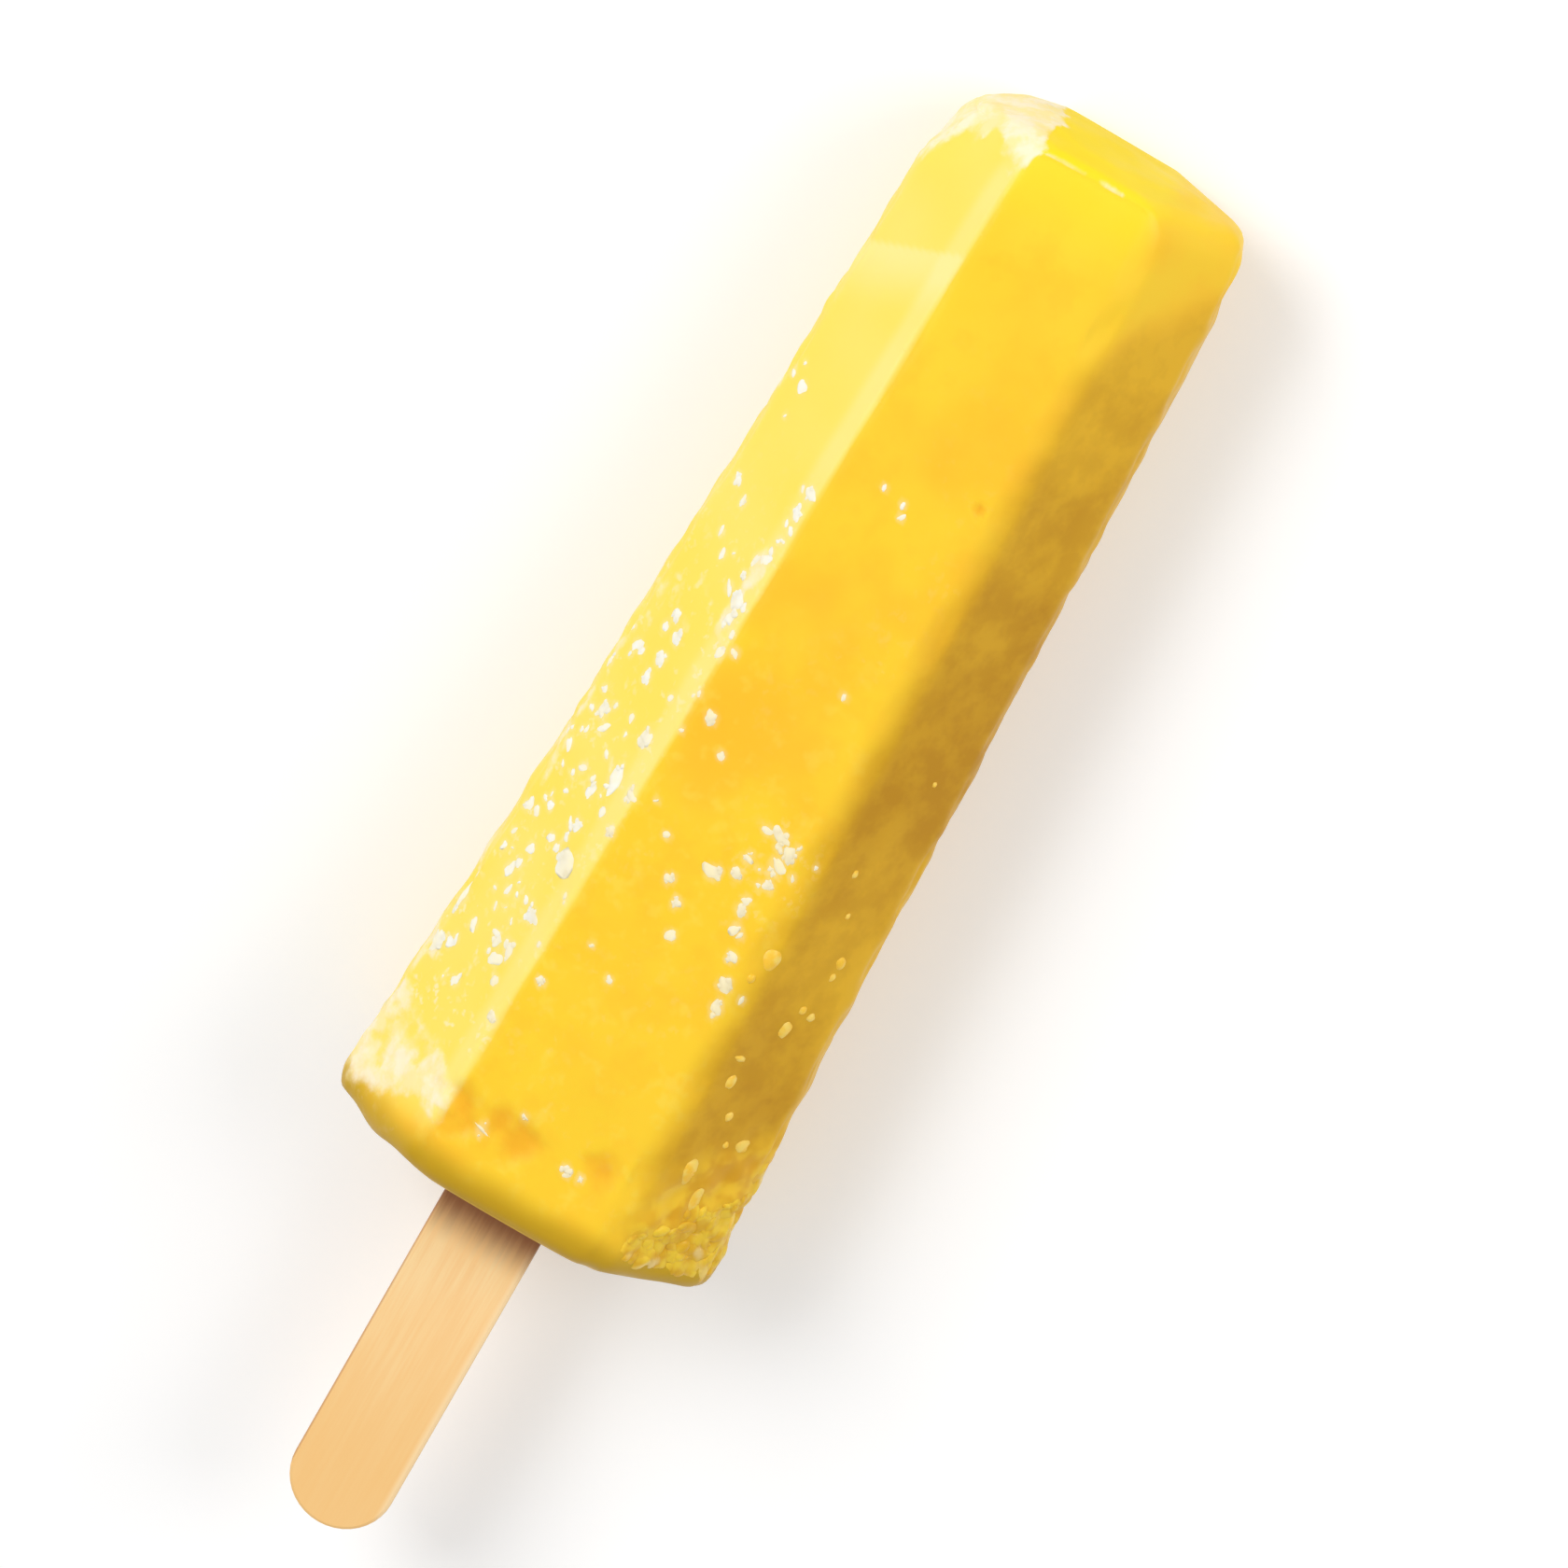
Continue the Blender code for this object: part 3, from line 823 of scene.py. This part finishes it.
# The frost is white, soaked yellow in places and a little yellower on the front facet, the highest one.
dry_frost = Recipe("dry_frost")
rime_tone = dry_frost.spread(dry_frost.noise(1.0 * MM, 2.0), 0.35, 0.65)
rime_colour = dry_frost.blend(rime_tone, linear(255, 248, 222), linear(255, 252, 236))
soaked = dry_frost.spread(dry_frost.noise(4.0 * MM, 2.0), 0.46, 0.62, 0.0, 0.5)
rime_colour = dry_frost.blend(soaked, rime_colour, linear(255, 240, 192))
up = dry_frost.tree.nodes.new("ShaderNodeSeparateXYZ")
dry_frost.link(dry_frost.place, up.inputs["Vector"])
on_top = dry_frost.spread(up.outputs["Z"], 22.0 * MM, 24.0 * MM, 0.0, 0.55)
rime_colour = dry_frost.blend(on_top, rime_colour, linear(255, 234, 172))
dry_frost.set("Base Color", rime_colour)
dry_frost.set("Roughness", 0.75)
dry_frost.as_ice((1.0, 0.8, 0.4), 1.0 * MM)
dry_frost.bump(dry_frost.noise(0.6 * MM, 2.0), 0.08, 0.05 * MM)
flecks = scatter("frost_flecks", spots, dry_frost.material, seed=5, uneven=0.9)


def place_on_bar(piece):
    """Lays a piece that was shaped with the bar down with it, and fixes it to the lolly."""
    piece.matrix_world = lying
    settle(piece)
    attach(piece, "root")


place_on_bar(flecks)

# ------------------------------------------------------------------------------ beads of syrup ice
# Clear beads, 0.5 to 3 mm long, stand out of the dark right facet and of the soft edge beside it, where
# syrup has come out of the ice and frozen fast again.

BEAD_HEIGHT = 0.18 * MM

# The beads, listed as the large flecks are.
beads = (
    ("right", 34.5, 8.7, 1.2, 1.1, 0),
    ("right", 33.0, 8.6, 0.8, 0.7, 0),
    ("right", 29.3, 7.4, 0.9, 0.8, 20),
    ("right", 28.8, 8.7, 0.8, 0.9, 0),
    ("right", 27.1, 6.6, 1.7, 1.3, 10),
    ("right", 23.5, 3.3, 0.6, 1.3, 0),
    ("right", 21.1, 3.6, 1.5, 1.1, 0),
    ("right", 17.9, 5.5, 1.0, 0.9, 0),
    ("right", 15.1, 6.9, 0.7, 0.7, 0),
    ("right", 15.3, 8.9, 1.5, 1.5, 0),
    ("right", 12.0, 4.4, 2.8, 1.6, 8),
    ("right", 9.3, 6.9, 2.6, 1.2, 0),
    ("right", 7.9, 12.8, 2.1, 1.2, 0),
    ("right", 43.0, 4.9, 0.8, 0.7, 0),
    ("right", 39.0, 6.6, 0.6, 0.5, 0),
    ("right", 53.0, 8.2, 0.6, 0.5, 0),
    ("front", 33.3, 9.4, 2.0, 1.7, 0),
    ("front", 31.0, 8.5, 0.9, 0.7, 0),
)
bead_spots = []
for side, behind_mm, edge_mm, length, width, degrees in beads:
    place, normal = on_facet(side, behind_mm * MM, edge_mm * MM)
    bead_spots.append((place, normal, length * MM, width * MM, BEAD_HEIGHT, math.radians(degrees)))

syrup_ice = Recipe("syrup_ice")
syrup_tone = syrup_ice.spread(syrup_ice.noise(1.2 * MM, 2.0), 0.38, 0.62)
syrup_colour = syrup_ice.blend(syrup_tone, linear(255, 200, 62), linear(255, 216, 104))
syrup_ice.set("Base Color", syrup_colour)
syrup_ice.set("Roughness", syrup_ice.spread(syrup_ice.noise(0.8 * MM), 0.35, 0.65, 0.25, 0.45))
syrup_ice.as_ice((1.0, 0.6, 0.25), 1.0 * MM)
syrup_beads = scatter("syrup_beads", bead_spots, syrup_ice.material, seed=11, uneven=0.3, sunk=0.5)
place_on_bar(syrup_beads)

# -------------------------------------------------------------------------- crystals at the corner
# The right corner of the mouth is a crust of coarse, half melted crystals, thickest at the rim. They are
# frozen into the bar, and reach further from the mouth the further down the side they lie.

CRYSTAL_TRIES = 190

crystal_spots = []
for index in range(CRYSTAL_TRIES):
    behind_mm = abs(chance.gauss(0.0, 5.5)) + 2.4
    edge_mm = chance.uniform(2.0, 15.5)
    if behind_mm > 3.0 + 0.75 * edge_mm:
        continue
    place, normal = on_facet("right", behind_mm * MM, edge_mm * MM)
    length = chance.uniform(0.9, 2.4) * MM
    width = length * chance.uniform(0.55, 0.9)
    height = chance.uniform(0.05, 0.20) * MM
    crystal_spots.append((place, normal, length, width, height, chance.uniform(0, math.pi)))

crystal_ice = Recipe("crystal_ice")
crystal_tone = crystal_ice.spread(crystal_ice.noise(2.0 * MM, 2.0, 0.6), 0.38, 0.62)
crystal_paint = crystal_ice.blend(crystal_tone, linear(238, 180, 38), linear(252, 208, 58))
pale_tone = crystal_ice.spread(crystal_ice.noise(3.4 * MM, 1.0), 0.60, 0.70, 0.0, 0.8)
crystal_paint = crystal_ice.blend(pale_tone, crystal_paint, linear(255, 222, 140))
crystal_ice.set("Base Color", crystal_paint)
crystal_ice.set("Roughness", crystal_ice.spread(crystal_ice.noise(1.5 * MM), 0.35, 0.65, 0.28, 0.50))
crystal_ice.as_ice((1.0, 0.6, 0.25), 1.0 * MM)
corner_crystals = scatter("corner_crystals", crystal_spots, crystal_ice.material, seed=17, sunk=0.6)
place_on_bar(corner_crystals)

# Everything on the bar is in place, so it can be laid down too.
place_on_bar(ice)
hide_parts("ice")

# -------------------------------------------------------------------------------------- the stick
# A flat stick, punched from a birch veneer with half-round ends, sanded, and frozen into the bar. Its
# surface has a fine straight grain, and where it comes out of the ice it is darker: partly wet wood,
# partly the ice's painted shadow.

# Beside the ice the stick is fully dark, as wet wood and painted shadow, and then fades.
DAMP_SHADOW_LENGTH = 2.6 * MM  # fully wet beside the ice
DAMP_SHADOW_FADE = 5.0 * MM
CUT_EDGE = 0.30 * MM

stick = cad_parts["stick"]
stick_low, stick_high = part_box("stick")
birch = Recipe("birch_veneer")
axes = birch.tree.nodes.new("ShaderNodeSeparateXYZ")
birch.link(birch.place, axes.inputs["Vector"])
along_stick = axes.outputs["X"]
over_stick = axes.outputs["Y"]

# Pale wood with darker fibres and soft clouds, browner towards its free end.
fibres = birch.noise(0.45 * MM, 3.0, 0.6, place=birch.stretched((0.04, 1.0, 1.0)))
clouds = birch.noise(6 * MM, 2.0, place=birch.stretched((0.5, 1.0, 1.0)))
wood = birch.blend(birch.spread(fibres, 0.30, 0.70), linear(255, 222, 164), linear(252, 209, 147))
wood = birch.blend(birch.spread(clouds, 0.40, 0.65, 0.0, 0.4), wood, linear(251, 200, 130))
toward_free_end = birch.spread(along_stick, ice_high.x + 8 * MM, stick_high.x - 6 * MM, 0.0, 0.8)
wood = birch.blend(toward_free_end, wood, linear(247, 196, 122))

# The right cut edge is paler than the faces, as a painted highlight, and the left one browner, as
# painted shade.
right_edge_highlight = birch.spread(over_stick, stick_high.y - 3 * CUT_EDGE, stick_high.y - CUT_EDGE, 0.0, 0.6)
wood = birch.blend(right_edge_highlight, wood, linear(255, 228, 182))
left_edge_shade = birch.spread(over_stick, stick_low.y, stick_low.y + CUT_EDGE, 0.75, 0.0)
wood = birch.blend(left_edge_shade, wood, linear(186, 128, 78))

# Wet wood and the ice's painted shadow reach out of the ice along the fibres.
damp_shadow_end = ice_high.x + DAMP_SHADOW_LENGTH
wet_shadow_end = birch.sum("ADD", along_stick, birch.spread(fibres, 0.3, 0.7, -0.25 * MM, 0.25 * MM))
wet_and_shadow = birch.spread(wet_shadow_end, damp_shadow_end, damp_shadow_end + DAMP_SHADOW_FADE, 1.0, 0.0)
wood = birch.blend(wet_and_shadow, wood, linear(146, 92, 50))
birch.set("Base Color", wood)
birch.set("Roughness", birch.sum("SUBTRACT", 0.60, birch.times(wet_and_shadow, 0.2)))
birch.bump(fibres, 0.15, 0.1 * MM)
stick.data.materials.clear()
stick.data.materials.append(birch.material)

# ------------------------------------------------------------------------- the table and the light
# The lolly lies on a plain white table, under a large soft lamp on its left, a weaker one at the right
# of its tip, and light from all round.

TABLE_SIZE = 4.0
TABLE_WHITE = 0.86
NEAR = 0.12  # up to this far from the lolly the table glows least, and from the next on most
FAR = 0.55
NEAR_GLOW = 0.20
FAR_GLOW = 0.60
LIGHT_ALL_ROUND = 0.46

bpy.ops.object.select_all(action="DESELECT")
bpy.ops.mesh.primitive_plane_add(size=TABLE_SIZE)
table = bpy.context.active_object
table.name = "table_top"
white_table = Recipe("white_table")
white_table.set("Base Color", (TABLE_WHITE, TABLE_WHITE, TABLE_WHITE, 1.0))
white_table.set("Roughness", 0.9)
white_table.set("Specular IOR Level", 0.0)

# The table glows so that it looks white, but gives the lolly no light by that.
seen = white_table.tree.nodes.new("ShaderNodeLightPath")
seen_by = white_table.sum("ADD", seen.outputs["Is Camera Ray"], seen.outputs["Is Glossy Ray"])
seen_by = white_table.sum("ADD", seen_by, seen.outputs["Is Transmission Ray"])
away = white_table.tree.nodes.new("ShaderNodeVectorMath")
away.operation = "LENGTH"
white_table.link(white_table.place, away.inputs[0])
glow_strength = white_table.spread(away.outputs["Value"], NEAR, FAR, NEAR_GLOW, FAR_GLOW)
white_table.set("Emission Color", (1.0, 1.0, 1.0, 1.0))
white_table.set("Emission Strength", white_table.times(seen_by, glow_strength))
table.data.materials.append(white_table.material)

world = bpy.data.worlds.new("studio")
world.use_nodes = True
bpy.context.scene.world = world
surroundings = world.node_tree.nodes["Background"]
surroundings.inputs["Color"].default_value = (1.0, 1.0, 1.0, 1.0)
surroundings.inputs["Strength"].default_value = LIGHT_ALL_ROUND


def add_lamp(name, place, aim, size, share):
    """A square white lamp. A level white surface at its aim, turned to it, gets this share of light."""
    data = bpy.data.lights.new(name, "AREA")
    data.size = size
    reach = (Vector(place) - Vector(aim)).length
    data.energy = share * math.pi**2 * reach**2
    lamp = bpy.data.objects.new(name, data)
    bpy.context.scene.collection.objects.link(lamp)
    lamp.location = place
    lamp.rotation_euler = (Vector(place) - Vector(aim)).to_track_quat("Z", "Y").to_euler()


add_lamp("key_lamp", place=(-0.30, -0.62, 0.72), aim=(0.0, 0.0, 0.0), size=0.55, share=0.56)
add_lamp("fill_lamp", place=(-0.35, 0.45, 0.45), aim=(0.0, 0.0, 0.0), size=0.40, share=0.34)

# The camera looks down on the front facet, leaning a little over the tip, with the lolly aslant in view.
CAMERA_DISTANCE = 0.85
LENS = 220.4
SENSOR = 36.0
LEAN = math.radians(17.5)
ROLL = math.radians(29.9)
target = Vector((-9.1 * MM, 2.3 * MM, MOUTH_DEPTH / 2))
back = Vector((-math.sin(LEAN), 0.0, math.cos(LEAN)))
tipward = Vector((-math.cos(LEAN), 0.0, -math.sin(LEAN)))
beside = Vector((0.0, 1.0, 0.0))
view_up = tipward * math.cos(ROLL) - beside * math.sin(ROLL)
view_right = tipward * math.sin(ROLL) + beside * math.cos(ROLL)
camera_data = bpy.data.cameras.new("camera")
camera_data.lens = LENS
camera_data.sensor_width = SENSOR
camera = bpy.data.objects.new("camera", camera_data)
bpy.context.scene.collection.objects.link(camera)
turned = Matrix((view_right, view_up, back)).transposed().to_4x4()
camera.matrix_world = Matrix.Translation(target + back * CAMERA_DISTANCE) @ turned
bpy.context.scene.camera = camera
bpy.context.scene.view_settings.view_transform = "Standard"
